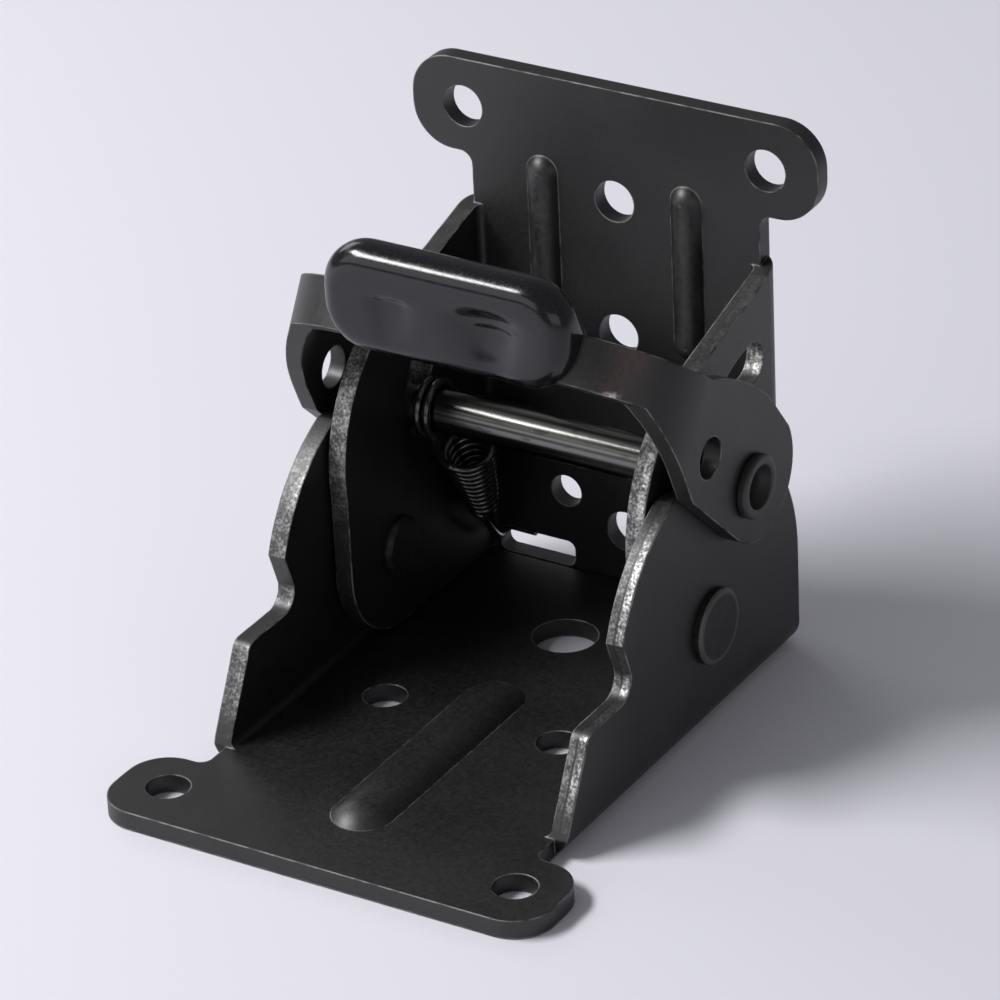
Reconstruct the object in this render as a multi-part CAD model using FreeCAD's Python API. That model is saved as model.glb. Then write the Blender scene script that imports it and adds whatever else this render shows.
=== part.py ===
import FreeCAD
import Part
import math
import os

# A folding table leg bracket in pressed steel. A base channel screws under the table top and a leg
# channel screws to the leg. They turn on two rivets, and a sprung rod in curved slots of the leg
# channel drops into notches of the base walls to hold the leg upright or folded.
# Millimetres. X runs across, Y runs from the foot to the leg face, Z is up from the mounting face.

# Sheet metal
SHEET = 2.5
BEND = 1.0
DEPTH = 82.3
HEIGHT = 74.5

# Base channel
BASE_HALF = 26.3
FOOT_HALF = 32.4
FOOT_LENGTH = 14.3
FOOT_CORNER = 5.5
NECK_HALF = FOOT_HALF - 8.0
NECK_FILLET = 1.6
WALL_START = 0.768 * DEPTH
WALL_RAKE = 6.4
SHELF_HEIGHT = 14.7
SHELF_ROUND = 1.4
LAND_RADIUS = 23.7
LAND_START_ANGLE = 160.0
HORN_RADIUS = 22.9
HORN_ANGLE = 62.0
FOLD_NOTCH_DEPTH = 2.9
BASE_RIB_FRONT = DEPTH - 9.3
BASE_RIB_BACK = 33.0
BASE_RIB_HALF = 4.25
BASE_RIB_HEIGHT = 1.8

# Screw holes
SCREW_HOLE = 5.8
FOOT_HOLE_HALF_SPACING = FOOT_HALF - 6.8
FOOT_HOLE_INSET = 7.6
MID_HOLE_HALF_SPACING = 13.0
MID_HOLE_BACK = 42.9
DRIVER_HOLE = 8.8
DRIVER_HOLE_BACK = 19.0

# Main pivot
PIVOT_BACK = 25.8
PIVOT_HEIGHT = 14.5
RIVET_SHANK = 6.0
RIVET_HEAD = 10.2
RIVET_HEAD_HEIGHT = 1.2
RIVET_HEAD_CHAMFER = 0.35
RIVET_TAIL = 8.0
RIVET_TAIL_HEIGHT = 1.1
RUNNING_CLEARANCE = 0.05

# Leg channel
LEG_SIDE_GAP = 0.5
LEG_FLOOR_GAP = 0.5
LEG_PLATE_BOTTOM = 1.2
LEG_TOP_HALF = 30.0
LEG_TOP_HEIGHT = 13.2
LEG_TOP_CORNER = 5.8
LEG_NECK_HALF = 21.4
LEG_NECK_FILLET = 1.8
LEG_WALL_TOP = 54.8
LEG_WALL_RAKE = 6.2
LEG_NOSE_BACK = 29.6
LEG_NOSE_HEIGHT = 45.4
LEG_FRONT_STRAIGHT = 12.0
LEG_RIB_HALF_SPACING = 10.7
LEG_RIB_HALF = 2.3
LEG_RIB_HEIGHT = 1.5
LEG_RIB_BOTTOM = 38.0
LEG_RIB_TOP = HEIGHT - 11.5
TOP_HOLE_HALF_SPACING = 22.4
TOP_HOLE_HEIGHT = HEIGHT - 6.75
CENTRE_HOLE_HEIGHTS = (HEIGHT - 15.8, 39.4)
LOWER_HOLE_HEIGHT = 10.0
SIDE_HOLE = 4.6
SIDE_HOLE_HALF_SPACING = 9.0
SIDE_HOLE_HEIGHT = 14.0
HOOK_SLOT_INNER = 8.0
HOOK_SLOT_OUTER = 19.6
HOOK_SLOT_BOTTOM = 2.6
HOOK_SLOT_HEIGHT = 3.7
HOOK_SLOT_ROUND = 1.2

# Lock rod and the curved slots that it travels in
ROD = 6.0
ROD_BACK = 19.4
ROD_HEIGHT = 32.3
ROD_SHOULDER_GAP = 0.25
TENON = 5.0
TENON_CLEARANCE = 0.35
SLOT_CLEARANCE = 0.4
ROD_TRAVEL_RADIUS = 11.0
FLARE = 8.6
FLARE_HEIGHT = 1.3
FLARE_BORE = 3.8
FLARE_BORE_DEPTH = 5.0
FLARE_ROUND = 0.5

# Lock lever, a bail of strap steel
LEVER_SHEET = 2.3
LEVER_SIDE_GAP = 0.4
LEVER_BEND = 11.7
LEVER_LEAN = 30.0
STRAP_REACH = 66.0
STRAP_LOW = 26.3
STRAP_HIGH = 32.8
LOBE_RADIUS = 8.6
LOBE_OFFSET = 2.2
LOBE_END_ANGLE = 28.0
ARM_CORNER_BACK = 34.3
ARM_CORNER_HEIGHT = 36.9
ARM_SHOULDER_BACK = 14.6
ARM_SHOULDER_HEIGHT = 42.9
ARM_CROWN_BACK = 20.5
ARM_CROWN_HEIGHT = 47.6
ARM_NECK_BACK = 28.8
ARM_NECK_HEIGHT = 51.8
ARM_HEEL_BACK = 40.0
ARM_HEEL_HEIGHT = 52.2
ARM_HOLLOW_BACK = 37.9
ARM_HOLLOW_HEIGHT = 45.6
SPARE_HOLE = 5.6
SPARE_HOLE_BACK = 29.8
SPARE_HOLE_HEIGHT = 41.2
TAB_FRONT = 43.2
TAB_BOTTOM = 55.2
TAB_HALF = 15.6
TAB_TOP = 66.4
TAB_CORNER = 4.5
TAB_HOLE = 6.0
TAB_HOLE_HALF_SPACING = 7.0
TAB_HOLE_HEIGHT = 60.6

# Dipped vinyl grip
GRIP_SKIN = 1.9
GRIP_DROP = 1.6
DIMPLE_RADIUS = 4.2
DIMPLE_DEPTH = 1.5

# Return spring
WIRE = 1.1
WIRE_SWELL = 0.06
COIL = 8.4
COIL_TURNS = 9
COIL_START = 0.30
COIL_END = 0.78
SPRING_SIDE = 16.1
HOOK_CLEARANCE = 0.1
HOOK_TIP = 4.0
LOOP_CLEARANCE = 0.25
LOOP_PITCH = 1.35
LOOP_TURNS = 2

ACROSS = FreeCAD.Vector(1, 0, 0)
BACKWARD = FreeCAD.Vector(0, 1, 0)
UPWARD = FreeCAD.Vector(0, 0, 1)
LONG = 4 * DEPTH

base_inner = BASE_HALF - SHEET
leg_half = base_inner - LEG_SIDE_GAP
leg_inner = leg_half - SHEET
lever_inner = BASE_HALF + LEVER_SIDE_GAP
lever_half = lever_inner + LEVER_SHEET
pivot = (-PIVOT_BACK, PIVOT_HEIGHT)
rod_place = (-ROD_BACK, ROD_HEIGHT)
slot_centre = (-ROD_BACK + ROD_TRAVEL_RADIUS, ROD_HEIGHT)


def polar(centre, radius, degrees):
    """A point in the side view, at an angle from the backward direction towards up."""
    angle = math.radians(degrees)
    return (centre[0] + radius * math.cos(angle), centre[1] + radius * math.sin(angle))


def direction(start, end):
    """The angle of the line from start to end, in degrees."""
    return math.degrees(math.atan2(end[1] - start[1], end[0] - start[0]))


def face_of(steps, place):
    """A flat face. A step is an end point, or a middle and an end point for an arc."""
    edges = []
    here = steps[0][-1]
    for step in steps[1:] + steps[:1]:
        points = [place(*point) for point in (here,) + tuple(step)]
        here = step[-1]
        if points[0].distanceToPoint(points[-1]) < 1e-6:
            continue
        edges.append(Part.LineSegment(*points).toShape() if len(points) == 2 else Part.Arc(*points).toShape())
    return Part.Face(Part.Wire(edges))


def side_prism(steps, left, right):
    """A side view outline, in back and up, stretched across from left to right."""
    face = face_of(steps, lambda back, up: FreeCAD.Vector(left, back, up))
    return face.extrude(ACROSS * (right - left))


def channel(half, sheet, inner_bend, depth, place, run):
    """A bent channel: a floor and two walls of the given depth, stretched along run."""
    outer_bend = inner_bend + sheet
    inner = half - sheet
    corner = math.sqrt(0.5)
    outer_mid = outer_bend * (1 - corner)
    inner_mid = sheet + inner_bend * (1 - corner)
    steps = [
        [(-half, depth)],
        [(-half, outer_bend)],
        [(-half + outer_mid, outer_mid), (-half + outer_bend, 0)],
        [(half - outer_bend, 0)],
        [(half - outer_mid, outer_mid), (half, outer_bend)],
        [(half, depth)],
        [(inner, depth)],
        [(inner, outer_bend)],
        [(half - inner_mid, inner_mid), (inner - inner_bend, sheet)],
        [(inner_bend - inner, sheet)],
        [(inner_mid - half, inner_mid), (-inner, outer_bend)],
        [(-inner, depth)],
    ]
    return face_of(steps, place).extrude(run)


def drill(diameter, centre, axis, reach=LONG):
    """A round cutter through centre along axis."""
    return Part.makeCylinder(diameter / 2, reach, centre - axis * (reach / 2), axis)


def rounded_plate(half, low, high, corner, thickness):
    """A flat plate in X and Y with rounded corners, from z = 0 up."""
    plate = Part.makeBox(2 * half, high - low, thickness, FreeCAD.Vector(-half, low, 0))
    upright = [edge for edge in plate.Edges if abs(edge.tangentAt(edge.FirstParameter).z) > 0.99]
    return plate.makeFillet(corner, upright)


def pressed_rib(low, high, half, height, sheet):
    """A round-ended rib pressed up from a plate whose top is z = sheet: what is added and what is cut."""
    shapes = []
    for half_width, rise, level in ((half, height, sheet), (half * 0.55, height * 0.75, 0)):
        radius = (half_width**2 + rise**2) / (2 * rise)
        axis_level = level + rise - radius
        start = FreeCAD.Vector(0, low + half_width, axis_level)
        end = FreeCAD.Vector(0, high - half_width, axis_level)
        body = Part.makeCylinder(radius, end.y - start.y, start, BACKWARD)
        body = body.fuse([Part.makeSphere(radius, start), Part.makeSphere(radius, end)])
        above = Part.makeBox(8 * half, 4 * (high - low), 2 * sheet + rise)
        above.translate(FreeCAD.Vector(-4 * half, 2 * low - high, level - sheet / 4))
        shapes.append(body.common(above))
    return shapes


def stand_up(shape):
    """Turns a plate modelled flat, with its top face up, so that it faces forward."""
    return shape.rotated(FreeCAD.Vector(0, 0, 0), ACROSS, 90)


def one_solid(shape):
    """The cleaned single solid of a shape."""
    return shape.removeSplitter().Solids[0]


def make_base():
    """The base channel: foot, floor with a rib, and two walls with lands and notches."""
    clear = TENON / 2 + TENON_CLEARANCE
    cam_centre = (pivot[0] - ROD_TRAVEL_RADIUS, pivot[1])
    cam_swing = math.dist(cam_centre, rod_place)
    cam_radius = cam_swing - clear
    rod_angle = direction(cam_centre, rod_place)
    between = (cam_radius**2 + ROD_TRAVEL_RADIUS**2 - LAND_RADIUS**2) / (2 * cam_radius * ROD_TRAVEL_RADIUS)
    crest_angle = math.degrees(math.acos(between))
    crest = polar(cam_centre, cam_radius, crest_angle)
    land_end = direction(pivot, crest)
    land_mid = polar(pivot, LAND_RADIUS, (LAND_START_ANGLE + land_end) / 2)
    cam_mid = polar(cam_centre, cam_radius, (crest_angle + rod_angle) / 2)
    seat_mid = polar(rod_place, clear, rod_angle + 247)
    fold_seat = polar(pivot, LAND_RADIUS - FOLD_NOTCH_DEPTH, LAND_START_ANGLE + 11)
    shelf_back = (fold_seat[0] - FOLD_NOTCH_DEPTH, SHELF_HEIGHT)
    notch_mid = (fold_seat[0] - FOLD_NOTCH_DEPTH * 0.25, SHELF_HEIGHT + FOLD_NOTCH_DEPTH * 0.28)
    rake_top = (-WALL_START + WALL_RAKE - SHELF_ROUND * 0.6, SHELF_HEIGHT - SHELF_ROUND)
    rake_mid = (rake_top[0] + SHELF_ROUND * 0.42, SHELF_HEIGHT - SHELF_ROUND * 0.3)
    shelf_front = rake_top[0] + SHELF_ROUND * 1.2
    steps = [
        [(-WALL_START, 0)],
        [(-WALL_START, SHEET)],
        [rake_top],
        [rake_mid, (shelf_front, SHELF_HEIGHT)],
        [shelf_back],
        [notch_mid, fold_seat],
        [polar(pivot, LAND_RADIUS, LAND_START_ANGLE)],
        [land_mid, crest],
        [cam_mid, polar(rod_place, clear, rod_angle + 180)],
        [seat_mid, polar(rod_place, clear, 0)],
        [polar(pivot, HORN_RADIUS, HORN_ANGLE)],
        [polar(pivot, HORN_RADIUS, HORN_ANGLE / 2), polar(pivot, HORN_RADIUS, 0)],
        [(pivot[0] + HORN_RADIUS, 0)],
    ]
    tall = channel(
        BASE_HALF, SHEET, BEND, LONG, lambda across, up: FreeCAD.Vector(across, -LONG, up), BACKWARD * LONG
    )
    walls = tall.common(side_prism(steps, -LONG, LONG))
    foot = rounded_plate(FOOT_HALF, -DEPTH, -DEPTH + FOOT_LENGTH, FOOT_CORNER, SHEET)
    neck_length = DEPTH - WALL_START - FOOT_LENGTH + 2 * FOOT_CORNER
    neck = Part.makeBox(2 * NECK_HALF, neck_length, SHEET)
    neck.translate(FreeCAD.Vector(-NECK_HALF, -WALL_START - neck_length + SHEET, 0))
    flat = foot.fuse(neck).removeSplitter()
    crook = FreeCAD.Vector(NECK_HALF, -DEPTH + FOOT_LENGTH, SHEET / 2)
    crooks = [edge for edge in flat.Edges if abs(abs(edge.CenterOfMass.x) - crook.x) < 1e-4
              and abs(edge.CenterOfMass.y - crook.y) < 1e-4 and abs(edge.CenterOfMass.z - crook.z) < 1e-4]
    base = walls.fuse(flat.makeFillet(NECK_FILLET, crooks))
    rib, groove = pressed_rib(-BASE_RIB_FRONT, -BASE_RIB_BACK, BASE_RIB_HALF, BASE_RIB_HEIGHT, SHEET)
    cutters = [groove, drill(DRIVER_HOLE, FreeCAD.Vector(0, -DRIVER_HOLE_BACK, 0), UPWARD, 4 * SHEET)]
    for side in (-1, 1):
        foot_hole = FreeCAD.Vector(side * FOOT_HOLE_HALF_SPACING, -DEPTH + FOOT_HOLE_INSET, 0)
        mid_hole = FreeCAD.Vector(side * MID_HOLE_HALF_SPACING, -MID_HOLE_BACK, 0)
        cutters += [drill(SCREW_HOLE, centre, UPWARD, 4 * SHEET) for centre in (foot_hole, mid_hole)]
    cutters.append(drill(RIVET_SHANK, FreeCAD.Vector(0, *pivot), ACROSS))
    return one_solid(base.fuse(rib).cut(cutters))


def slot_cutter():
    """The curved slot in both leg walls: a bent band round the slot centre, with round ends."""
    half_width = TENON / 2 + SLOT_CLEARANCE
    outer = ROD_TRAVEL_RADIUS + half_width
    inner = ROD_TRAVEL_RADIUS - half_width
    top = (slot_centre[0], slot_centre[1] + ROD_TRAVEL_RADIUS)
    steps = [
        [polar(slot_centre, outer, 180)],
        [polar(slot_centre, outer, 135), polar(slot_centre, outer, 90)],
        [polar(top, half_width, 0), polar(slot_centre, inner, 90)],
        [polar(slot_centre, inner, 135), polar(slot_centre, inner, 180)],
        [polar(rod_place, half_width, 270), polar(slot_centre, outer, 180)],
    ]
    return side_prism(steps, -LONG, LONG)


def make_leg():
    """The leg channel: top plate, back plate with two ribs, and two walls with curved slots."""
    heel_radius = PIVOT_HEIGHT - SHEET - LEG_FLOOR_GAP
    heel_bottom = PIVOT_HEIGHT - heel_radius
    front = (pivot[0] - heel_radius, PIVOT_HEIGHT + LEG_FRONT_STRAIGHT)
    nose = (-LEG_NOSE_BACK, LEG_NOSE_HEIGHT)
    bulge = (front[0] * 0.60 + nose[0] * 0.40 - 1.6, front[1] * 0.42 + nose[1] * 0.58)
    steps = [
        [(0, LEG_PLATE_BOTTOM)],
        [(-SHEET, LEG_PLATE_BOTTOM)],
        [(-SHEET, heel_bottom)],
        [(pivot[0], heel_bottom)],
        [polar(pivot, heel_radius, 225), polar(pivot, heel_radius, 180)],
        [front],
        [bulge, nose],
        [(-LEG_NOSE_BACK * 0.75, LEG_WALL_TOP - LEG_WALL_RAKE)],
        [(0, LEG_WALL_TOP)],
    ]
    tall = channel(
        leg_half, SHEET, BEND, LONG, lambda across, out: FreeCAD.Vector(across, -out, 0), UPWARD * HEIGHT
    )
    walls = tall.common(side_prism(steps, -LONG, LONG))
    top = rounded_plate(LEG_TOP_HALF, HEIGHT - LEG_TOP_HEIGHT, HEIGHT, LEG_TOP_CORNER, SHEET)
    neck_low = LEG_WALL_TOP - LEG_TOP_CORNER
    neck = Part.makeBox(2 * LEG_NECK_HALF, HEIGHT - neck_low - LEG_TOP_CORNER, SHEET)
    neck.translate(FreeCAD.Vector(-LEG_NECK_HALF, neck_low, 0))
    flat = top.fuse(neck).removeSplitter()
    crooks = [edge for edge in flat.Edges if abs(abs(edge.CenterOfMass.x) - LEG_NECK_HALF) < 1e-4
              and abs(edge.CenterOfMass.y - (HEIGHT - LEG_TOP_HEIGHT)) < 1e-4]
    upright = [edge for edge in crooks if abs(edge.CenterOfMass.z - SHEET / 2) < 1e-4]
    flat = flat.makeFillet(LEG_NECK_FILLET, upright)
    cutters = []
    holes = [(side * TOP_HOLE_HALF_SPACING, TOP_HOLE_HEIGHT, SCREW_HOLE) for side in (-1, 1)]
    holes += [(0, height, SCREW_HOLE) for height in CENTRE_HOLE_HEIGHTS + (LOWER_HOLE_HEIGHT,)]
    holes += [(side * SIDE_HOLE_HALF_SPACING, SIDE_HOLE_HEIGHT, SIDE_HOLE) for side in (-1, 1)]
    for across, height, diameter in holes:
        cutters.append(drill(diameter, FreeCAD.Vector(across, 0, height), BACKWARD, 4 * SHEET))
    slot_half = (HOOK_SLOT_OUTER - HOOK_SLOT_INNER) / 2
    slot_top = HOOK_SLOT_BOTTOM + HOOK_SLOT_HEIGHT
    for side in (-1, 1):
        hook_slot = rounded_plate(slot_half, HOOK_SLOT_BOTTOM, slot_top, HOOK_SLOT_ROUND, 4 * SHEET)
        hook_slot.translate(FreeCAD.Vector(side * (HOOK_SLOT_INNER + slot_half), 0, -SHEET))
        cutters.append(stand_up(hook_slot))
        rib, groove = pressed_rib(LEG_RIB_BOTTOM, LEG_RIB_TOP, LEG_RIB_HALF, LEG_RIB_HEIGHT, SHEET)
        aside = FreeCAD.Vector(side * LEG_RIB_HALF_SPACING, 0, 0)
        flat = flat.fuse(rib.translated(aside))
        cutters.append(stand_up(groove.translated(aside)))
    cutters.append(slot_cutter())
    cutters.append(drill(RIVET_SHANK + 2 * RUNNING_CLEARANCE, FreeCAD.Vector(0, *pivot), ACROSS))
    return one_solid(walls.fuse(stand_up(flat)).cut(cutters))


def make_rivet(side):
    """A pivot rivet: a flat head outside the base wall and a formed tail inside the leg wall."""
    head_face = BASE_HALF + RIVET_HEAD_HEIGHT
    tail_face = leg_inner - RUNNING_CLEARANCE
    tail_end = tail_face - RIVET_TAIL_HEIGHT
    profile = [
        [(0, tail_end)],
        [(RIVET_TAIL / 2 - RIVET_TAIL_HEIGHT / 2, tail_end)],
        [(RIVET_TAIL / 2, tail_face - RIVET_TAIL_HEIGHT / 2)],
        [(RIVET_TAIL / 2, tail_face)],
        [(RIVET_SHANK / 2, tail_face)],
        [(RIVET_SHANK / 2, BASE_HALF)],
        [(RIVET_HEAD / 2, BASE_HALF)],
        [(RIVET_HEAD / 2, head_face - RIVET_HEAD_CHAMFER)],
        [(RIVET_HEAD / 2 - RIVET_HEAD_CHAMFER, head_face)],
        [(0, head_face)],
    ]
    face = face_of(profile, lambda out, along: FreeCAD.Vector(side * along, pivot[0] + out, pivot[1]))
    return face.revolve(FreeCAD.Vector(0, *pivot), ACROSS, 360)


def make_rod():
    """The lock rod: a thick middle, two tenons through walls and arms, and hollow flared ends."""
    shoulder = leg_inner - ROD_SHOULDER_GAP
    flare_end = lever_half + FLARE_HEIGHT
    profile = [
        [(0, -flare_end + FLARE_BORE_DEPTH)],
        [(FLARE_BORE / 2, -flare_end + FLARE_BORE_DEPTH)],
        [(FLARE_BORE / 2, -flare_end)],
        [(FLARE / 2 - FLARE_ROUND, -flare_end)],
        [(FLARE / 2, -flare_end + FLARE_ROUND)],
        [(FLARE / 2, -lever_half)],
        [(TENON / 2, -lever_half)],
        [(TENON / 2, -shoulder)],
        [(ROD / 2, -shoulder)],
    ]
    mirrored = [[(out, -along) for out, along in reversed(step)] for step in reversed(profile)]
    face = face_of(profile + mirrored, lambda out, along: FreeCAD.Vector(along, rod_place[0] + out, rod_place[1]))
    return face.revolve(FreeCAD.Vector(0, *rod_place), ACROSS, 360)


def make_lever():
    """The lock lever: a strap bent into a leaning bail, with an arm on each side and an upright tab."""
    lean = math.radians(LEVER_LEAN)
    forward = FreeCAD.Vector(0, -math.cos(lean), math.sin(lean))
    along_bend = FreeCAD.Vector(0, math.sin(lean), math.cos(lean))

    def strap_point(reach, level):
        point = forward * reach + along_bend * level
        return (point.y, point.z)

    corner = (-ARM_CORNER_BACK, ARM_CORNER_HEIGHT)
    lobe_centre = (rod_place[0] + LOBE_OFFSET, rod_place[1])
    edge_angle = direction(corner, lobe_centre) - math.degrees(
        math.asin(LOBE_RADIUS / math.dist(corner, lobe_centre))
    )
    past_front = STRAP_REACH + LEVER_SHEET
    steps = [
        [corner],
        [polar(lobe_centre, LOBE_RADIUS, edge_angle - 90)],
        [
            polar(lobe_centre, LOBE_RADIUS, (edge_angle - 90 + LOBE_END_ANGLE) / 2),
            polar(lobe_centre, LOBE_RADIUS, LOBE_END_ANGLE),
        ],
        [(-ARM_SHOULDER_BACK, ARM_SHOULDER_HEIGHT)],
        [(-ARM_CROWN_BACK, ARM_CROWN_HEIGHT), (-ARM_NECK_BACK, ARM_NECK_HEIGHT)],
        [strap_point(past_front, STRAP_HIGH)],
        [strap_point(past_front, STRAP_LOW)],
        [(-ARM_HEEL_BACK, ARM_HEEL_HEIGHT)],
        [(-ARM_HOLLOW_BACK, ARM_HOLLOW_HEIGHT), corner],
    ]
    tall = channel(
        lever_half, LEVER_SHEET, LEVER_BEND, LONG,
        lambda across, behind: ACROSS * across + forward * (STRAP_REACH - behind) - along_bend * LONG,
        along_bend * (2 * LONG),
    )
    bail = tall.common(side_prism(steps, -LONG, LONG))
    tab = rounded_plate(TAB_HALF, TAB_BOTTOM, TAB_TOP, TAB_CORNER, LEVER_SHEET)
    tab = stand_up(tab).translated(FreeCAD.Vector(0, -TAB_FRONT + LEVER_SHEET, 0))
    cutters = [
        drill(TENON + 2 * RUNNING_CLEARANCE, FreeCAD.Vector(0, *rod_place), ACROSS),
        drill(SPARE_HOLE, FreeCAD.Vector(0, -SPARE_HOLE_BACK, SPARE_HOLE_HEIGHT), ACROSS),
    ]
    for side in (-1, 1):
        tab_hole = FreeCAD.Vector(side * TAB_HOLE_HALF_SPACING, -TAB_FRONT, TAB_HOLE_HEIGHT)
        cutters.append(drill(TAB_HOLE, tab_hole, BACKWARD, 4 * LEVER_SHEET))
    return one_solid(bail.fuse(tab).cut(cutters))


def make_grip(lever):
    """The vinyl that the tab was dipped in: a fat rounded skin that sinks into the tab's two holes."""
    thickness = LEVER_SHEET + 2 * GRIP_SKIN
    low = TAB_BOTTOM - GRIP_DROP
    high = TAB_TOP + GRIP_SKIN
    paddle = rounded_plate(TAB_HALF + GRIP_SKIN, low, high, TAB_CORNER + GRIP_SKIN, thickness)
    rims = [edge for edge in paddle.Edges if abs(edge.tangentAt(edge.FirstParameter).z) < 0.01]
    paddle = paddle.makeFillet(GRIP_SKIN + LEVER_SHEET * 0.25, rims)
    paddle = stand_up(paddle).translated(FreeCAD.Vector(0, -TAB_FRONT + LEVER_SHEET + GRIP_SKIN, 0))
    dimples = []
    for side in (-1, 1):
        for face, out in ((-TAB_FRONT - GRIP_SKIN, -1), (-TAB_FRONT + LEVER_SHEET + GRIP_SKIN, 1)):
            centre = FreeCAD.Vector(side * TAB_HOLE_HALF_SPACING, face, TAB_HOLE_HEIGHT)
            centre.y += out * (DIMPLE_RADIUS - DIMPLE_DEPTH)
            dimples.append(Part.makeSphere(DIMPLE_RADIUS, centre))
    return one_solid(paddle.cut(dimples).cut(lever))


def wire_run(start, end):
    """A straight length of spring wire with a slightly swollen bend at each end."""
    along = end - start
    run = Part.makeCylinder(WIRE / 2, along.Length, start, along)
    return run.fuse([Part.makeSphere(WIRE / 2 + WIRE_SWELL, point) for point in (start, end)])


def wire_turns(radius, pitch, turns, start, axis):
    """Turns of spring wire about axis as leaning half rings that meet end to end, with the two end points."""
    turn = FreeCAD.Rotation(UPWARD, axis)
    place = FreeCAD.Placement(start, turn)
    halves = []
    points = []
    for half in range(2 * turns + 1):
        points.append(FreeCAD.Vector(radius * (-1) ** half, 0, pitch * half / 2))
    for here, there in zip(points, points[1:]):
        ring = Part.Face(Part.Wire(Part.makeCircle(WIRE / 2, here, BACKWARD)))
        hinge = (there - here).cross(BACKWARD) * (1 if here.x < 0 else -1)
        halves.append(ring.revolve((here + there) / 2, hinge, 180))
    coil = halves[0].fuse(halves[1:])
    coil.Placement = place
    return coil, place.multVec(points[0]), place.multVec(points[-1])


def make_spring():
    """The return spring: loops round the rod, a coil, and a hook in the slot of the back plate."""
    top = FreeCAD.Vector(-SPRING_SIDE, *rod_place)
    hook_height = HOOK_SLOT_BOTTOM + HOOK_SLOT_HEIGHT - WIRE / 2 - HOOK_CLEARANCE
    knee = FreeCAD.Vector(-SPRING_SIDE, -SHEET - WIRE, hook_height)
    hook = FreeCAD.Vector(-SPRING_SIDE, -SHEET / 2, hook_height)
    tip = hook + ACROSS * HOOK_TIP
    axis = knee - top
    coil_start = top + axis * COIL_START
    coil_length = axis.Length * (COIL_END - COIL_START)
    coil_radius = (COIL - WIRE) / 2
    coil, coil_top, coil_foot = wire_turns(coil_radius, coil_length / COIL_TURNS, COIL_TURNS, coil_start, axis)
    loop_radius = ROD / 2 + LOOP_CLEARANCE + WIRE / 2
    loop_start = FreeCAD.Vector(-leg_inner + WIRE, *rod_place)
    loops, _, last = wire_turns(loop_radius, LOOP_PITCH, LOOP_TURNS, loop_start, ACROSS)
    runs = [wire_run(*ends) for ends in ((last, coil_top), (coil_foot, knee), (knee, hook), (hook, tip))]
    return one_solid(coil.fuse([loops] + runs))


def export(node, shape):
    """Writes one node with the origin under the middle of the part."""
    shape.translated(FreeCAD.Vector(0, DEPTH / 2, 0)).exportStep("parts/" + node + ".step")


os.makedirs("parts", exist_ok=True)
lock_lever = make_lever()
export("base_bracket", make_base())
export("leg_bracket", make_leg())
export("pivot_rivet_left", make_rivet(-1))
export("pivot_rivet_right", make_rivet(1))
export("lock_rod", make_rod())
export("lock_lever", lock_lever)
export("lever_grip", make_grip(lock_lever))
export("lock_spring", make_spring())
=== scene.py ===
import math

import bmesh
import bpy
from mathutils import Matrix, Vector
from mathutils.geometry import interpolate_bezier


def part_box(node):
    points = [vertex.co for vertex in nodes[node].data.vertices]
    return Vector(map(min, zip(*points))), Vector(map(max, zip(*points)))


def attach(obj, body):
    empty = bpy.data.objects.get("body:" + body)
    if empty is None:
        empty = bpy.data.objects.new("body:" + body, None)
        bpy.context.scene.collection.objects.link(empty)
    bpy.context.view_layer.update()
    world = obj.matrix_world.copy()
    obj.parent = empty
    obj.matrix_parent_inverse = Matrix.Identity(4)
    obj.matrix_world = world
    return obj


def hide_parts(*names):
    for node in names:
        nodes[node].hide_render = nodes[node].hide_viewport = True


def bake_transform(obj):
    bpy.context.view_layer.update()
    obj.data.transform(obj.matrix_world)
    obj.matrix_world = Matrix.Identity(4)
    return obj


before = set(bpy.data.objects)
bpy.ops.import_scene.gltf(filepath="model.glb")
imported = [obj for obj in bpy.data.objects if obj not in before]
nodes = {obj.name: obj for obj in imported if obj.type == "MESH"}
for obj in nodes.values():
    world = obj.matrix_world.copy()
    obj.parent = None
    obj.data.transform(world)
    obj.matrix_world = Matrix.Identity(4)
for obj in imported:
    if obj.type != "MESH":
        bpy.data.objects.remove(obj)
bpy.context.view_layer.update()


# Base bracket: the outer channel that is screwed under the table top. It is pressed from 2.5 mm steel
# sheet and coated black, and the sheared edges of its two walls have been rubbed bright by handling.
MM = 0.001
SHEET = 2.5 * MM
RIVET_HEAD_HEIGHT = 1.2 * MM
ARRIS = 0.35 * MM
ARRIS_SAMPLES = 6
EDGE_SLACK = 0.05 * MM
BEND_TOP = 3.4 * MM
BASE_WEAR_START = 4.5 * MM
BASE_WEAR_FULL = 8.5 * MM
BASE_RIB_SHOULDER = 0.9 * MM
BASE_RIB_CREST = 1.8 * MM
BASE_RIB_HALF = 5 * MM
BASE_RIB_WORN = 11 * MM
BASE_RIB_PLAIN = 24 * MM
COAT_DARK = (0.0032, 0.0032, 0.0032, 1)
COAT_LIGHT = (0.0125, 0.0125, 0.012, 1)
COAT_SPECULAR = 0.65
COAT_RELIEF = 0.06 * MM
STAIN_RED = (0.052, 0.014, 0.013, 1)
RUBBED_AND_HIGHLIGHT_GREY = (0.065, 0.0643, 0.063, 1)
ARRIS_WEAR_AND_HIGHLIGHT_GREY = (0.36, 0.355, 0.345, 1)
BARE_DARK = (0.12, 0.118, 0.116, 1)
BARE_BRIGHT = (0.80, 0.79, 0.78, 1)
base_low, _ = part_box("base_bracket")
pivot_low, pivot_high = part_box("pivot_rivet_right")
base_wall_inner = pivot_high.x - RIVET_HEAD_HEIGHT - SHEET


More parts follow.
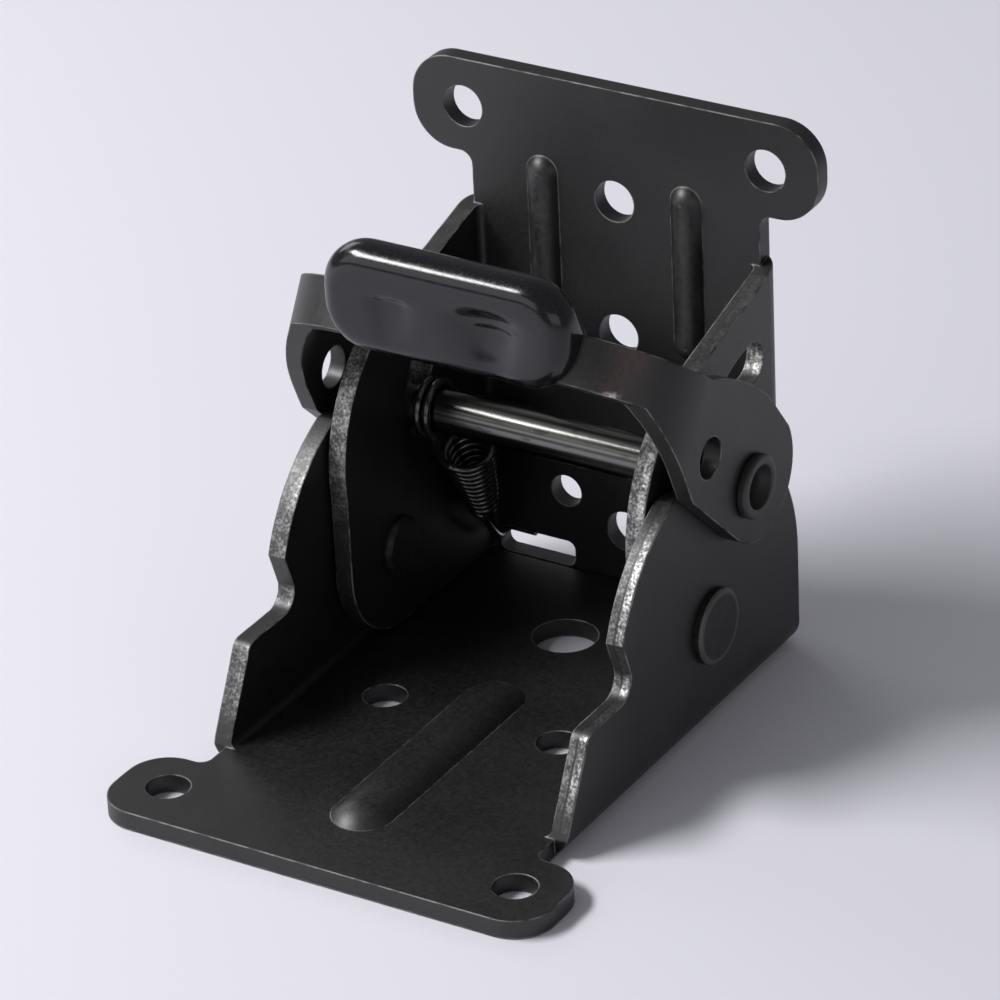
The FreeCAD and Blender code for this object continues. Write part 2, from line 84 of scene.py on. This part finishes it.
class Flow:
    """One output of a material's nodes, so that sums over the surface read as plain sums."""

    def __init__(self, tree, socket=None):
        self.tree = tree
        self.socket = socket

    def node(self, kind, settings=None, sockets=None, output=0):
        """Adds a node with its settings and with values or flows on its sockets, and gives one output."""
        made = self.tree.nodes.new("ShaderNode" + kind)
        for name, value in (settings or {}).items():
            setattr(made, name, value)
        for name, value in (sockets or {}).items():
            if isinstance(value, Flow):
                self.tree.links.new(value.socket, made.inputs[name])
            else:
                made.inputs[name].default_value = value
        return Flow(self.tree, made.outputs[output])

    def sum(self, operation, first, second):
        return self.node("Math", {"operation": operation}, {0: first, 1: second})

    def __add__(self, other):
        return self.sum("ADD", self, other)

    def __radd__(self, other):
        return self.sum("ADD", other, self)

    def __sub__(self, other):
        return self.sum("SUBTRACT", self, other)

    def __rsub__(self, other):
        return self.sum("SUBTRACT", other, self)

    def __mul__(self, other):
        return self.sum("MULTIPLY", self, other)

    def __rmul__(self, other):
        return self.sum("MULTIPLY", other, self)

    def __gt__(self, other):
        return self.sum("GREATER_THAN", self, other)

    def __lt__(self, other):
        return self.sum("LESS_THAN", self, other)

    def __abs__(self):
        return self.sum("ABSOLUTE", self, 0.0)


def step_up(value, low, high):
    """0 below low, 1 above high, and a smooth rise between them."""
    return value.node(
        "MapRange", {"interpolation_type": "SMOOTHSTEP"}, {"Value": value, "From Min": low, "From Max": high}
    )


def tinted(share, first, second):
    """The first colour where share is 0 and the second where it is 1."""
    # A Mix node takes its two colours on sockets 6 and 7, and gives the mixed colour on output 2.
    return share.node("Mix", {"data_type": "RGBA"}, {0: share, 6: first, 7: second}, output=2)


def grain(place, per_metre, detail=3.0, stretch=(1.0, 1.0, 1.0)):
    """Noise over the piece from 0 to 1, with stretch for streaks."""
    spread = place.node("VectorMath", {"operation": "MULTIPLY"}, {0: place, 1: stretch})
    return place.node("TexNoise", {}, {"Vector": spread, "Scale": per_metre, "Detail": detail})


def axis_of(vector, axis):
    """The X, Y or Z of a vector."""
    return vector.node("SeparateXYZ", {}, {0: vector}, output=axis)


def new_finish(name):
    """An empty material with its shader, a start for its sums, and the places on the piece."""
    material = bpy.data.materials.new(name)
    material.use_nodes = True
    shader = material.node_tree.nodes["Principled BSDF"]
    start = Flow(material.node_tree)
    place = start.node("TexCoord", output="Object")
    return material, shader, start, place


def facing_of(start):
    """The way that the piece's surface faces, which turns with the piece."""
    return start.node("TexCoord", output="Normal")


def softened(start):
    """The surface's normal with its sharp edges rounded."""
    return start.node("Bevel", {"samples": ARRIS_SAMPLES}, {"Radius": ARRIS})


def relief(height, strength, depth, **normal):
    """The surface's normal with fine relief on it, or on another Normal."""
    return height.node("Bump", {}, {"Strength": strength, "Distance": depth, "Height": height, **normal})


def feed(shader, **flows):
    """Links what changes over the surface to the shader's sockets."""
    for name, flow in flows.items():
        flow.tree.links.new(flow.socket, shader.inputs[name.replace("_", " ")])


def dress(node, material):
    """Gives a node its finish."""
    nodes[node].data.materials.clear()
    nodes[node].data.materials.append(material)


def coated_steel(name, bare_edges_and_highlight, rubbed_and_highlight=None, red_stain=None):
    """Satin black coat whose paler arrises are partly chipped wear and partly a painted highlight. The three
    functions give the shares, at a place, of bare edge steel (a painted highlight on the lever), of worn grey
    (partly a painted highlight on the leg's rib crests) and of red stain.
    """
    material, shader, start, place = new_finish(name)
    cloud = grain(place, per_metre=70, detail=4)
    speck = grain(place, per_metre=1500, detail=4)
    fine = grain(place, per_metre=5200, detail=2)
    shade = step_up(cloud * 0.55 + speck * 0.45, 0.33, 0.68)
    colour = tinted(shade, COAT_DARK, COAT_LIGHT)
    if red_stain:
        colour = tinted(red_stain(place) * step_up(speck, 0.25, 0.6), colour, STAIN_RED)
    rounded = softened(start)
    true = start.node("NewGeometry", output="Normal")
    kept = start.node("VectorMath", {"operation": "DOT_PRODUCT"}, {0: rounded, 1: true}, output="Value")
    # Paler arrises: partly chipped wear, partly a painted highlight along the rounded edges.
    arris_patches = step_up(grain(place, per_metre=420, detail=3), 0.34, 0.60)
    colour = tinted(step_up(1 - kept, 0.02, 0.16) * arris_patches * 0.85, colour, ARRIS_WEAR_AND_HIGHLIGHT_GREY)
    # Worn grey: worn coat on the base's rib; on the leg's rib crests it is partly a painted highlight.
    if rubbed_and_highlight:
        patch = step_up(0.5 * speck + 0.5 * grain(place, per_metre=260, detail=4), 0.36, 0.62)
        colour = tinted(rubbed_and_highlight(place) * patch, colour, RUBBED_AND_HIGHLIGHT_GREY)
    pitted = step_up(grain(place, per_metre=3000, detail=4), 0.30, 0.60)
    # Bare steel on the sheared edges; on the lever's bend this is a painted highlight.
    bare = bare_edges_and_highlight(place, facing_of(start)) * (0.30 + 0.70 * pitted)
    burr = 0.65 * grain(place, per_metre=2600, detail=4) + 0.35 * grain(place, per_metre=500, detail=3)
    colour = tinted(bare, colour, tinted(step_up(burr, 0.38, 0.66), BARE_DARK, BARE_BRIGHT))
    feed(
        shader,
        Base_Color=colour,
        Roughness=0.36 + 0.16 * speck + bare * 0.02,
        Metallic=0.9 * bare,
        Normal=relief(fine + 0.7 * speck, 0.22, COAT_RELIEF, Normal=rounded),
    )
    shader.inputs["Specular IOR Level"].default_value = COAT_SPECULAR
    return material


def shear_bands(x, inner):
    """A sheared wall edge: grey on the left wall; a dull band, a dark line and a bright band on the right."""
    right_wall = x > 0
    across = (x - inner) * (1 / SHEET)
    dull = 1 - step_up(across, 0.34, 0.44)
    bright = step_up(across, 0.47, 0.55) * (1 - step_up(across, 0.84, 0.97))
    grey = 0.30 + 0.26 * step_up((x + inner) * (1 / SHEET), -0.7, -0.1)
    return (0.36 * dull + bright) * right_wall + grey * (1 - right_wall)


def base_edges(place, facing):
    """The sheared edges of the two walls above the bend, bare where they face forward and a little up."""
    x = axis_of(place, "X")
    z = axis_of(place, "Z")
    on_edge = (abs(x) > base_wall_inner - EDGE_SLACK) * (abs(axis_of(facing, "X")) < 0.5)
    outward = step_up(-1 * axis_of(facing, "Y"), 0.45, 0.75) * step_up(axis_of(facing, "Z"), -0.12, 0.18)
    worn = outward * step_up(z, BASE_WEAR_START, BASE_WEAR_FULL)
    return on_edge * (0.08 + 0.92 * worn) * shear_bands(x, base_wall_inner) * (z > BEND_TOP)


def base_rib_top(place):
    """The top of the floor's rib, most at its front end."""
    crest = step_up(axis_of(place, "Z"), SHEET + BASE_RIB_SHOULDER, SHEET + BASE_RIB_CREST)
    on_rib = crest * (abs(axis_of(place, "X")) < BASE_RIB_HALF)
    behind = step_up(axis_of(place, "Y"), base_low.y + BASE_RIB_WORN, base_low.y + BASE_RIB_PLAIN)
    return on_rib * (0.03 + 0.12 * (1 - behind))


dress("base_bracket", coated_steel("base_coat", base_edges, base_rib_top))


# Leg bracket: the inner channel that the table leg is screwed to, pressed and coated like the base. It
# turns between the base's walls, and its walls carry the curved slots that the lock rod slides in.
WALL_GAP = 0.5 * MM
PLATE_BEND = 1.6 * MM
LEG_WEAR_START = 21 * MM
LEG_WEAR_FULL = 32 * MM
LEG_RIB_CREST = 1.5 * MM
LEG_RIB_SHOULDER = 0.6 * MM
LEG_RIBS_HALF = 14 * MM
# The share of paler grey on the ribs' crests: partly worn coat, partly a painted highlight.
LEG_RIB_RUB_AND_HIGHLIGHT = 0.3
_, leg_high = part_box("leg_bracket")
leg_wall_inner = base_wall_inner - WALL_GAP - SHEET
leg_plate_front = leg_high.y - SHEET


def leg_edges(place, facing):
    """The sheared edges of the two walls in front of the bend, barest high up on the right."""
    x = axis_of(place, "X")
    walls = (abs(x) > leg_wall_inner - EDGE_SLACK) * (abs(x) < leg_wall_inner + SHEET + 2 * EDGE_SLACK)
    in_front = axis_of(place, "Y") < leg_plate_front - PLATE_BEND
    on_edge = walls * (abs(axis_of(facing, "X")) < 0.5) * in_front
    high_up = step_up(axis_of(place, "Z"), LEG_WEAR_START, LEG_WEAR_FULL)
    worn = 0.10 + 0.90 * step_up(-1 * axis_of(facing, "Y"), 0.35, 0.8) * high_up
    return on_edge * worn * (0.70 + 0.30 * (x > 0)) * (0.45 + 0.55 * shear_bands(x, leg_wall_inner))


def leg_rib_wear_and_highlight(place):
    """The crests of the plate's two ribs, a paler grey that is partly worn coat and partly a painted
    highlight.
    """
    below = step_up(axis_of(place, "Y"), leg_plate_front - LEG_RIB_CREST, leg_plate_front - LEG_RIB_SHOULDER)
    return (1 - below) * (abs(axis_of(place, "X")) < LEG_RIBS_HALF) * LEG_RIB_RUB_AND_HIGHLIGHT


dress("leg_bracket", coated_steel("leg_coat", leg_edges, leg_rib_wear_and_highlight))


# Pivot rivets: solid steel rivets, one through each pair of walls, that the two channels turn on. A paler
# ring round each head's face is a painted highlight, where the head's rim would catch the light.
RING_INSIDE = 1.0 * MM
RING_OUTSIDE = 0.5 * MM
RIVET_DARK = (0.012, 0.012, 0.012, 1)
RIVET_LIGHT = (0.034, 0.034, 0.033, 1)
RIVET_HIGHLIGHT_RING = (0.11, 0.11, 0.108, 1)
RIVET_METALLIC = 0.4
RIVET_RELIEF = 0.06 * MM
pivot = (pivot_low + pivot_high) / 2
head_radius = (pivot_high.z - pivot_low.z) / 2


def rivet_finish():
    """Grey coat with a painted highlight ring round the head's face."""
    material, shader, start, place = new_finish("rivet_grey")
    speck = grain(place, per_metre=1300, detail=4)
    level = start.node("CombineXYZ", {}, {0: 0.0, 1: axis_of(place, "Y"), 2: axis_of(place, "Z")})
    axis = (0, pivot.y, pivot.z)
    away = start.node("VectorMath", {"operation": "DISTANCE"}, {0: level, 1: axis}, output="Value")
    on_face = abs(axis_of(facing_of(start), "X")) > 0.5
    # The ring is a painted highlight, standing in for light caught by the rim of the head.
    ring = step_up(away, head_radius - RING_INSIDE, head_radius - RING_OUTSIDE) * on_face
    face = tinted(step_up(speck, 0.3, 0.7), RIVET_DARK, RIVET_LIGHT)
    feed(
        shader,
        Base_Color=tinted(0.75 * ring, face, RIVET_HIGHLIGHT_RING),
        Roughness=0.36 + 0.2 * speck,
        Normal=relief(speck, 0.25, RIVET_RELIEF, Normal=softened(start)),
    )
    shader.inputs["Metallic"].default_value = RIVET_METALLIC
    return material


rivet_grey = rivet_finish()
dress("pivot_rivet_left", rivet_grey)
dress("pivot_rivet_right", rivet_grey)


# Lock rod: a drawn bright steel rod across the channel. Its ends are turned down and hollow, pass through
# the lever's arms and are rolled over outside them, and only those ends took the black coat.
ROD_RADIUS = 3.0 * MM
ROD_SHOULDER_GAP = 0.25 * MM
ROD_CHAMFER = 0.25 * MM
TENON_RADIUS = 2.5 * MM
LIP_HEIGHT = 1.3 * MM
LIP_ROUND = 0.5 * MM
MOUTH_RADIUS = 2.9 * MM
MOUTH_ROUND = 0.3 * MM
BORE_RADIUS = 1.9 * MM
BORE_DEPTH = 5.0 * MM
ROUND_STEPS = 6
ROD_SIDES = 72
ROD_SHARP = math.radians(40)
ROD_COAT_FADE = 0.3 * MM
ROD_DARK = (0.045, 0.044, 0.042, 1)
ROD_BRIGHT = (0.17, 0.167, 0.162, 1)
ROD_SCUFF = (0.035, 0.034, 0.032, 1)
ROD_END_BLACK = (0.022, 0.022, 0.0216, 1)
ROD_RELIEF = 0.05 * MM
rod_low, rod_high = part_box("lock_rod")
rod_middle = Vector((0, (rod_low.y + rod_high.y) / 2, (rod_low.z + rod_high.z) / 2))
rod_shoulder = leg_wall_inner - ROD_SHOULDER_GAP
lip_end = rod_high.x
lip_foot = lip_end - LIP_HEIGHT
lip_radius = (rod_high.z - rod_low.z) / 2
rod_outline = [
    (rod_shoulder - ROD_CHAMFER, ROD_RADIUS),
    (rod_shoulder, ROD_RADIUS - ROD_CHAMFER),
    (rod_shoulder, TENON_RADIUS),
    (lip_foot, TENON_RADIUS),
    (lip_foot, lip_radius - LIP_ROUND / 2),
    (lip_foot + LIP_ROUND / 2, lip_radius),
]
for middle, round_size, first in (
    (lip_radius - LIP_ROUND, LIP_ROUND, 0),
    (MOUTH_RADIUS + MOUTH_ROUND, MOUTH_ROUND, 90),
):
    for step in range(ROUND_STEPS + 1):
        angle = math.radians(first + 90 * step / ROUND_STEPS)
        along = lip_end - round_size + round_size * math.sin(angle)
        rod_outline.append((along, middle + round_size * math.cos(angle)))
rod_outline.append((lip_foot, (MOUTH_RADIUS + TENON_RADIUS) / 2 - MOUTH_ROUND))
rod_outline.append((lip_end - 2 * LIP_HEIGHT, BORE_RADIUS))
rod_outline.append((lip_end - BORE_DEPTH, BORE_RADIUS))
rod_outline = [(-along, out) for along, out in reversed(rod_outline)] + rod_outline
rod_points = []
for along, out in rod_outline:
    for side in range(ROD_SIDES):
        angle = math.tau * side / ROD_SIDES
        rod_points.append(rod_middle + Vector((along, out * math.cos(angle), out * math.sin(angle))))
rod_faces = [list(range(ROD_SIDES)), [len(rod_points) - 1 - side for side in range(ROD_SIDES)]]
for ring in range(len(rod_outline) - 1):
    for side in range(ROD_SIDES):
        beside = (side + 1) % ROD_SIDES
        here = ring * ROD_SIDES
        rod_faces.append((here + side, here + ROD_SIDES + side, here + ROD_SIDES + beside, here + beside))
rod_mesh = bpy.data.meshes.new("rolled_rod")
rod_mesh.from_pydata(rod_points, [], rod_faces)
tidy_rod = bmesh.new()
tidy_rod.from_mesh(rod_mesh)
bmesh.ops.recalc_face_normals(tidy_rod, faces=tidy_rod.faces)
for edge in tidy_rod.edges:
    edge.smooth = edge.calc_face_angle() < ROD_SHARP
for face in tidy_rod.faces:
    face.smooth = True
tidy_rod.to_mesh(rod_mesh)
tidy_rod.free()
rolled_rod = bpy.data.objects.new("rolled_rod", rod_mesh)
bpy.context.collection.objects.link(rolled_rod)


def drawn_steel():
    """Bright steel with streaks and scuffs along the rod, and black ends."""
    material, shader, _, place = new_finish("drawn_steel")
    streak = grain(place, per_metre=1100, detail=4, stretch=(0.012, 1, 1))
    scuff = grain(place, per_metre=900, detail=5, stretch=(0.35, 1, 1))
    ends = step_up(abs(axis_of(place, "X")), rod_shoulder - ROD_COAT_FADE, rod_shoulder + ROD_COAT_FADE)
    bright = tinted(step_up(streak, 0.32, 0.66), ROD_DARK, ROD_BRIGHT)
    bright = tinted(step_up(scuff, 0.58, 0.70) * 0.6, bright, ROD_SCUFF)
    feed(
        shader,
        Base_Color=tinted(ends, bright, ROD_END_BLACK),
        Roughness=0.15 + 0.14 * streak + 0.20 * ends,
        Metallic=1 - ends,
        Normal=relief(streak, 0.12, ROD_RELIEF),
    )
    return material


rod_mesh.materials.append(drawn_steel())
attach(rolled_rod, "latch")
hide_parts("lock_rod")


# Lock lever: a bail of 2.3 mm strap steel, bent round both sides of the base and coated black. Its arms
# hang on the rod's ends. Heat left a faint red stain where the right arm was bent, above a painted highlight
# on its lower edge.
STAINS = (((23.9 * MM, 2.2 * MM, 58.1 * MM), 4.2 * MM), ((22.4 * MM, -1.0 * MM, 54.8 * MM), 3.2 * MM))
STAIN_SHARE = 0.65
# A painted highlight: a short streak of bright steel on the bend's lower edge, where light catches it.
HIGHLIGHT_PLACE = (22.2 * MM, -1.3 * MM, 54.3 * MM)
HIGHLIGHT_REACH = 1.3 * MM
HIGHLIGHT_SQUEEZE = (0.45, 1, 2)
HIGHLIGHT_SHARE = 0.8


def near(place, centre, reach, squeeze=(1, 1, 1)):
    """1 at a place on the piece, falling to 0 at its reach, or nearer along an axis that is squeezed."""
    offset = place.node("VectorMath", {"operation": "SUBTRACT"}, {0: place, 1: centre})
    offset = place.node("VectorMath", {"operation": "MULTIPLY"}, {0: offset, 1: squeeze})
    away = place.node("VectorMath", {"operation": "LENGTH"}, {0: offset}, output="Value")
    return 1 - step_up(away, 0.15 * reach, reach)


def bend_stain(place):
    """The red stains on the right arm's bend."""
    return STAIN_SHARE * sum(near(place, centre, reach) for centre, reach in STAINS)


def lever_highlight(place, facing):
    """A painted highlight of bare steel on the bend's lower edge, whichever way it faces."""
    return HIGHLIGHT_SHARE * near(place, HIGHLIGHT_PLACE, HIGHLIGHT_REACH, HIGHLIGHT_SQUEEZE)


dress("lock_lever", coated_steel("lever_coat", lever_highlight, red_stain=bend_stain))


# Lever grip: black vinyl that the lever's tab was dipped in. The skin is thick and glossy with a round
# rim. It sinks in over the tab's two punched holes and swells behind, where it covers the strap.
GRIP_VOXEL = 0.32 * MM
GRIP_RIM = 2.75 * MM
GRIP_CORNER = 6.2 * MM
GRIP_BULGE = 0.6 * MM
GRIP_FORWARD = 0.8 * MM
GRIP_SWELL = 2.4 * MM
SWELL_HEIGHT = 58.2 * MM
SWELL_REACH = 3.6 * MM
DIMPLE_OFF_CENTRE = 7.0 * MM
DIMPLE_HEIGHT = 60.4 * MM
VINYL_DARK = (0.0035, 0.0035, 0.005, 1)
VINYL_LIGHT = (0.0085, 0.0085, 0.0115, 1)
VINYL_RELIEF = 0.25 * MM
grip_low, grip_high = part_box("lever_grip")
grip_size = grip_high - grip_low
grip_middle = (grip_high + grip_low) / 2

paddle = bmesh.new()
bmesh.ops.create_cube(paddle, size=1)
for corner in paddle.verts:
    corner.co = Vector(a * b for a, b in zip(corner.co, grip_size + Vector((GRIP_BULGE, 0, 0))))
through = [edge for edge in paddle.edges if abs(edge.verts[0].co.y - edge.verts[1].co.y) > GRIP_VOXEL]
bmesh.ops.bevel(
    paddle, geom=through, offset=GRIP_CORNER, offset_type="OFFSET", segments=10, profile=0.5, affect="EDGES"
)
rims = [edge for edge in paddle.edges if abs(edge.verts[0].co.y - edge.verts[1].co.y) < GRIP_VOXEL]
bmesh.ops.bevel(
    paddle, geom=rims, offset=GRIP_RIM, offset_type="OFFSET", segments=8, profile=0.5, affect="EDGES"
)
paddle_mesh = bpy.data.meshes.new("grip_blank")
paddle.to_mesh(paddle_mesh)
paddle.free()
grip_blank = bpy.data.objects.new("grip_blank", paddle_mesh)
bpy.context.collection.objects.link(grip_blank)
remesh = grip_blank.modifiers.new("even", "REMESH")
remesh.mode = "VOXEL"
remesh.voxel_size = GRIP_VOXEL
relax = grip_blank.modifiers.new("relax", "SMOOTH")
relax.factor = 0.5
relax.iterations = 8
grip_mesh = bpy.data.meshes.new_from_object(grip_blank.evaluated_get(bpy.context.evaluated_depsgraph_get()))
grip_mesh.name = "dipped_grip"
bpy.data.objects.remove(grip_blank)
# Each dimple's place across and up, half its width, its reach above and below that place, and its depth.
dimples = (
    (-DIMPLE_OFF_CENTRE, DIMPLE_HEIGHT + 1.2 * MM, 2.8 * MM, 1.0 * MM, 4.5 * MM, 0.60 * MM),
    (DIMPLE_OFF_CENTRE - 0.3 * MM, DIMPLE_HEIGHT + 1.2 * MM, 4.8 * MM, 2.0 * MM, 5.8 * MM, 1.10 * MM),
    (DIMPLE_OFF_CENTRE + 0.2 * MM, DIMPLE_HEIGHT + 0.3 * MM, 3.0 * MM, 0.7 * MM, 8.0 * MM, 0.50 * MM),
)
for point in grip_mesh.vertices:
    x, y, z = point.co + grip_middle
    if y < grip_middle.y:
        for dimple_x, dimple_z, half_width, above, below, depth in dimples:
            half_height = above if z > dimple_z else below
            away = math.hypot((x - dimple_x) / half_width, (z - dimple_z) / half_height)
            y += depth * math.exp(-(away**3))
    else:
        y += GRIP_SWELL * math.exp(-(((z - SWELL_HEIGHT) / SWELL_REACH) ** 2))
    point.co = (x, y - GRIP_FORWARD, z)
for face in grip_mesh.polygons:
    face.use_smooth = True
dipped_grip = bpy.data.objects.new("dipped_grip", grip_mesh)
bpy.context.collection.objects.link(dipped_grip)


def dipped_vinyl():
    """Glossy black vinyl with slow runs and a little dust."""
    material, shader, _, place = new_finish("dipped_vinyl")
    run = grain(place, per_metre=160, detail=2)
    dust = grain(place, per_metre=2600, detail=3)
    feed(
        shader,
        Base_Color=tinted(step_up(dust, 0.35, 0.75), VINYL_DARK, VINYL_LIGHT),
        Roughness=0.16 + 0.10 * step_up(dust, 0.4, 0.8),
        Normal=relief(run, 0.3, VINYL_RELIEF),
    )
    return material


grip_mesh.materials.append(dipped_vinyl())
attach(dipped_grip, "lever")
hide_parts("lever_grip")


# Lock spring: a close extension coil of 1.1 mm black wire that narrows to its foot. Two turns sit round the
# rod beside the left wall, and the other end hooks into a slot low in the leg bracket's plate.
WIRE = 1.1 * MM
WIRE_ROUNDING = 4
COIL_TOP = 7.8 * MM
COIL_BOTTOM = 4.3 * MM
COIL_TURNS = 11
COIL_HEAD_FROM_ROD = Vector((-16.6, 4.8, -8.0)) * MM
COIL_FOOT_FROM_ROD = Vector((-18.3, 10.9, -19.8)) * MM
LOOP_TURNS = 2
LOOP_CLEARANCE = 0.15 * MM
LOOP_START_ANGLE = 218
LOOP_OFF_WALL = 0.8 * WIRE
LOOP_PITCH = 1.25 * WIRE
LOOP_PULL = 3.0 * MM
STEPS_PER_TURN = 28
HOOK_TIP = 4.0 * MM
HOOK_SIDE = -18.8 * MM
HOOK_LIFT = 0.06 * MM
HOOK_PULL = 2.0 * MM
WIRE_DARK = (0.07, 0.07, 0.071, 1)
WIRE_LIGHT = (0.12, 0.119, 0.117, 1)
WIRE_METALLIC = 0.9
spring_low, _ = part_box("lock_spring")
hook_height = spring_low.z + WIRE / 2 + HOOK_LIFT
coil_head = rod_middle + COIL_HEAD_FROM_ROD
coil_foot = rod_middle + COIL_FOOT_FROM_ROD
spring_knee = Vector((HOOK_SIDE, leg_plate_front - WIRE, hook_height))
spring_hook = Vector((HOOK_SIDE, leg_high.y - SHEET / 2, hook_height))
loop_radius = ROD_RADIUS + LOOP_CLEARANCE + WIRE / 2
loops = []
for step in range(LOOP_TURNS * STEPS_PER_TURN + 1):
    turned = step / STEPS_PER_TURN
    angle = math.radians(LOOP_START_ANGLE) + turned * math.tau
    x = -leg_wall_inner + LOOP_OFF_WALL + LOOP_PITCH * turned
    loops.append(rod_middle + Vector((x, loop_radius * math.cos(angle), loop_radius * math.sin(angle))))
coil_way = (coil_foot - coil_head).normalized()
coil_across = Vector((1, 0, 0)) - coil_way * coil_way.x
coil_across.normalize()
coil_front = coil_way.cross(coil_across)
coil = []
for step in range(COIL_TURNS * STEPS_PER_TURN + 1):
    share = step / (COIL_TURNS * STEPS_PER_TURN)
    radius = (COIL_TOP + (COIL_BOTTOM - COIL_TOP) * share - WIRE) / 2
    angle = step / STEPS_PER_TURN * math.tau
    ring = coil_front * math.cos(angle) + coil_across * math.sin(angle)
    coil.append(coil_head + (coil_foot - coil_head) * share + ring * radius)


def wire_run(before, after, pull):
    """A smooth run of wire from the end of one list of places to the start of the next."""
    first = before[-1]
    last = after[0]
    leave = first + (first - before[-2]).normalized() * pull
    arrive = last - (after[1] - last).normalized() * pull
    return interpolate_bezier(first, leave, arrive, last, STEPS_PER_TURN)[1:-1]


hook = [spring_knee, spring_hook, spring_hook + Vector((HOOK_TIP, 0, 0))]
wire_path = loops + wire_run(loops, coil, LOOP_PULL) + coil + wire_run(coil, hook, HOOK_PULL) + hook
wire_curve = bpy.data.curves.new("wire", "CURVE")
wire_curve.dimensions = "3D"
wire_curve.bevel_depth = WIRE / 2
wire_curve.bevel_resolution = WIRE_ROUNDING
wire_curve.use_fill_caps = True
wire_line = wire_curve.splines.new("POLY")
wire_line.points.add(len(wire_path) - 1)
for point, place in zip(wire_line.points, wire_path):
    point.co = (*place, 1)
wire_blank = bpy.data.objects.new("wire_blank", wire_curve)
bpy.context.collection.objects.link(wire_blank)
coil_mesh = bpy.data.meshes.new_from_object(wire_blank.evaluated_get(bpy.context.evaluated_depsgraph_get()))
coil_mesh.name = "wound_spring"
bpy.data.objects.remove(wire_blank)
for face in coil_mesh.polygons:
    face.use_smooth = True
wound_spring = bpy.data.objects.new("wound_spring", coil_mesh)
bpy.context.collection.objects.link(wound_spring)


def oiled_wire():
    """Dark spring wire with a film of oil."""
    material, shader, _, place = new_finish("oiled_wire")
    speck = grain(place, per_metre=1800, detail=3)
    feed(
        shader,
        Base_Color=tinted(step_up(speck, 0.3, 0.7), WIRE_DARK, WIRE_LIGHT),
        Roughness=0.14 + 0.06 * speck,
    )
    shader.inputs["Metallic"].default_value = WIRE_METALLIC
    return material


coil_mesh.materials.append(oiled_wire())
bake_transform(wound_spring)
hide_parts("lock_spring")


# Studio: a pale floor that the bracket lies on, a soft pale surround, a broad lamp above on the left, three
# weaker ones at the back, front and right, and a camera at the photograph's place.
FLOOR_DROP = 0.15 * MM
FLOOR_HALF = 6.0
FLOOR_PALE = (0.75, 0.74, 0.81, 1)
FLOOR_ROUGHNESS = 0.7
SURROUND_PALE = (0.93, 0.95, 1.0, 1)
SURROUND_STRENGTH = 0.21
LAMP_AIM = Vector((0, 0, 0.03))
floor_mesh = bpy.data.meshes.new("floor")
floor_mesh.from_pydata(
    [(x * FLOOR_HALF, y * FLOOR_HALF, -FLOOR_DROP) for x, y in ((-1, -1), (1, -1), (1, 1), (-1, 1))],
    [],
    [(0, 1, 2, 3)],
)
floor = bpy.data.objects.new("floor", floor_mesh)
bpy.context.collection.objects.link(floor)
floor_paint, floor_shader, _, _ = new_finish("floor_paint")
floor_shader.inputs["Base Color"].default_value = FLOOR_PALE
floor_shader.inputs["Roughness"].default_value = FLOOR_ROUGHNESS
floor_mesh.materials.append(floor_paint)

surround = bpy.data.worlds.new("surround")
surround.use_nodes = True
surround_light = surround.node_tree.nodes["Background"]
surround_light.inputs["Color"].default_value = SURROUND_PALE
surround_light.inputs["Strength"].default_value = SURROUND_STRENGTH
bpy.context.scene.world = surround


def soft_lamp(name, place, width, height, watts):
    """A broad rectangular lamp that points at the bracket."""
    data = bpy.data.lights.new(name, "AREA")
    data.shape = "RECTANGLE"
    data.size = width
    data.size_y = height
    data.energy = watts
    lamp = bpy.data.objects.new(name, data)
    lamp.location = place
    lamp.rotation_euler = (LAMP_AIM - Vector(place)).to_track_quat("-Z", "Y").to_euler()
    bpy.context.collection.objects.link(lamp)


soft_lamp("key_lamp", (-0.57, -0.33, 0.73), width=0.50, height=0.20, watts=9.4)
soft_lamp("back_lamp", (-0.90, 0.45, 0.50), width=0.6, height=0.4, watts=1.6)
soft_lamp("front_lamp", (-0.50, -0.82, 0.42), width=1.2, height=0.5, watts=2.0)
soft_lamp("right_lamp", (0.85, -0.60, 0.30), width=0.9, height=0.4, watts=0.9)

PHOTO_SIDE = 1000
PHOTO_FOCAL = 5828.2
SENSOR = 36.0
CAMERA_PLACE = (0.34865, -0.54371, 0.38528)
camera_data = bpy.data.cameras.new("photo_camera")
camera_data.sensor_width = SENSOR
camera_data.lens = PHOTO_FOCAL * SENSOR / PHOTO_SIDE
camera_right = Vector((0.85638, 0.51467, -0.04160))
camera_up = Vector((-0.21530, 0.42916, 0.87719))
camera_back = camera_right.cross(camera_up)
camera_turn = Matrix((camera_right, camera_up, camera_back)).transposed()
camera = bpy.data.objects.new("photo_camera", camera_data)
camera.matrix_world = Matrix.Translation(CAMERA_PLACE) @ camera_turn.to_4x4()
bpy.context.collection.objects.link(camera)
bpy.context.scene.camera = camera
bpy.context.scene.view_settings.view_transform = "Standard"
